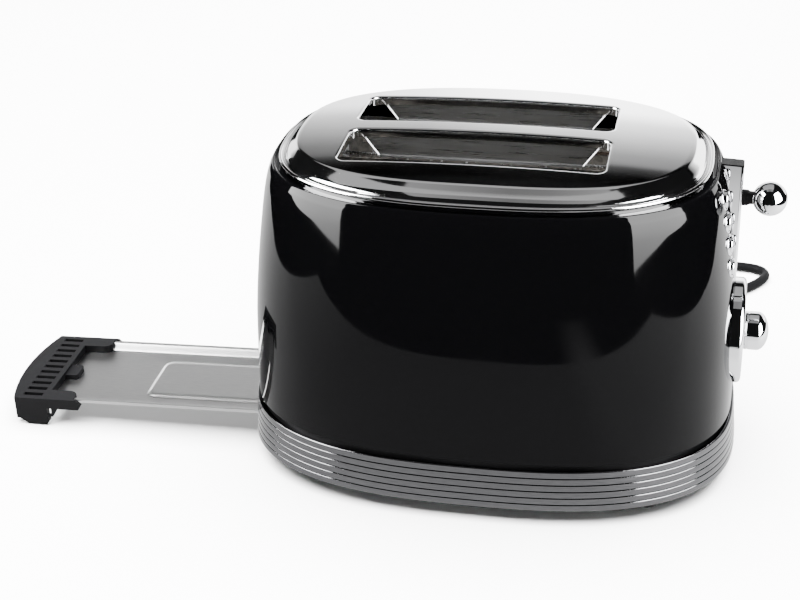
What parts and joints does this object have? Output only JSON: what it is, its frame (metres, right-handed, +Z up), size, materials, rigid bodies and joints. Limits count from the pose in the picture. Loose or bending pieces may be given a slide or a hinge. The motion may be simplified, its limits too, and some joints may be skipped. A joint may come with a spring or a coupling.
{
  "type": "toaster",
  "caption": "Long oval slot toaster with polished domed top, gloss black body, ribbed base ring, end lever, dial and buttons, and a crumb tray drawn out at the other end.",
  "frame": {"origin": "centre of the body's oval footprint, on the worktop that the feet stand on", "axes": "+X along the body towards the lever and the dial, +Y towards the side where the mains lead leaves, +Z up"},
  "size_m": [0.4607, 0.3478, 0.1954],
  "materials": {
    "black_gloss_steel": "high-gloss black enamel on steel sheet",
    "polished_steel": "mirror-polished stainless steel",
    "brushed_sheet": "bright rolled steel sheet",
    "satin_ring": "satin grey, ribbed",
    "black_plastic": "black moulded, fine satin",
    "black_rubber": "soft matt black",
    "galvanised_sheet": "dull zinc-plated sheet",
    "mica": "pale flecked insulating sheet",
    "heater_ribbon": "dull resistance ribbon",
    "steel_wire": "bright drawn wire",
    "copper_winding": "enamelled copper wire",
    "board": "brown laminate board",
    "tray_steel": "plain bright sheet with faint rolling marks",
    "pin_metal": "nickel-plated"
  },
  "bodies": {
    "toaster_body": {"body_shell": "black_gloss_steel", "top_plate": "polished_steel", "slot_guides": "brushed_sheet", "base_ring": "satin_ring", "base_pan": "black_plastic", "feet": "black_rubber", "base_screws": "galvanised_sheet", "chassis_rails": "galvanised_sheet", "front_frame": "galvanised_sheet", "rear_frame": "galvanised_sheet", "side_reflectors": "brushed_sheet", "mica_boards": "mica", "heating_ribbons": "heater_ribbon", "bread_cages": "steel_wire", "electromagnet": "copper_winding", "guide_rods": "steel_wire", "lever_housing": "polished_steel", "housing_cap": "black_plastic", "button_bezel": "polished_steel", "button_guide": "black_plastic", "circuit_board": "board", "board_brackets": "galvanised_sheet", "button_switches": "black_plastic", "dial_potentiometer": "black_plastic", "dial_bezel": "polished_steel", "tray_rails": "galvanised_sheet", "cord_gland": "black_rubber", "cord": "black_rubber", "cord_coil": "black_rubber", "cord_tail": "black_rubber", "cord_tie": "black_plastic", "plug_body": "black_rubber", "plug_pins": "pin_metal", "terminal_block": "black_plastic", "lead_cores": "black_rubber"},
    "carriage": {"carriage_plate": "galvanised_sheet", "latch_armature": "brushed_sheet", "bread_rack_near": "brushed_sheet", "bread_rack_far": "brushed_sheet", "carriage_spring": "steel_wire", "lever_arm": "black_plastic", "lever_ball": "polished_steel"},
    "tray": {"crumb_tray": "tray_steel", "tray_handle": "black_plastic"},
    "browning_knob": {"dial_knob": "polished_steel", "potentiometer_shaft": "steel_wire"},
    "cancel_button": {"button_cancel": "polished_steel"},
    "reheat_button": {"button_reheat": "polished_steel"},
    "defrost_button": {"button_defrost": "polished_steel"},
    "bagel_button": {"button_bagel": "polished_steel"}
  },
  "joints": [
    {"name": "lever_slide", "type": "slide", "parent": "toaster_body", "child": "carriage", "axis": [0, 0, 1], "range_m": [-0.0455, 0], "stiffness_N_per_m": 60, "springref_m": 0.06, "deforming": ["carriage_spring"]},
    {"name": "tray_slide", "type": "slide", "parent": "toaster_body", "child": "tray", "axis": [0.9996, 0, 0.0279], "range_m": [0, 0.1555]},
    {"name": "knob_turn", "type": "hinge", "parent": "toaster_body", "child": "browning_knob", "pos_m": [0.15, 0, 0.08], "axis": [1, 0, 0], "range_deg": [-135, 135]},
    {"name": "cancel_press", "type": "slide", "parent": "toaster_body", "child": "cancel_button", "axis": [-1, 0, 0], "range_m": [0, 0.002], "stiffness_N_per_m": 300, "springref_m": -0.001},
    {"name": "reheat_press", "type": "slide", "parent": "toaster_body", "child": "reheat_button", "axis": [-1, 0, 0], "range_m": [0, 0.002], "stiffness_N_per_m": 300, "springref_m": -0.001},
    {"name": "defrost_press", "type": "slide", "parent": "toaster_body", "child": "defrost_button", "axis": [-1, 0, 0], "range_m": [0, 0.002], "stiffness_N_per_m": 300, "springref_m": -0.001},
    {"name": "bagel_press", "type": "slide", "parent": "toaster_body", "child": "bagel_button", "axis": [-1, 0, 0], "range_m": [0, 0.002], "stiffness_N_per_m": 300, "springref_m": -0.001}
  ]
}
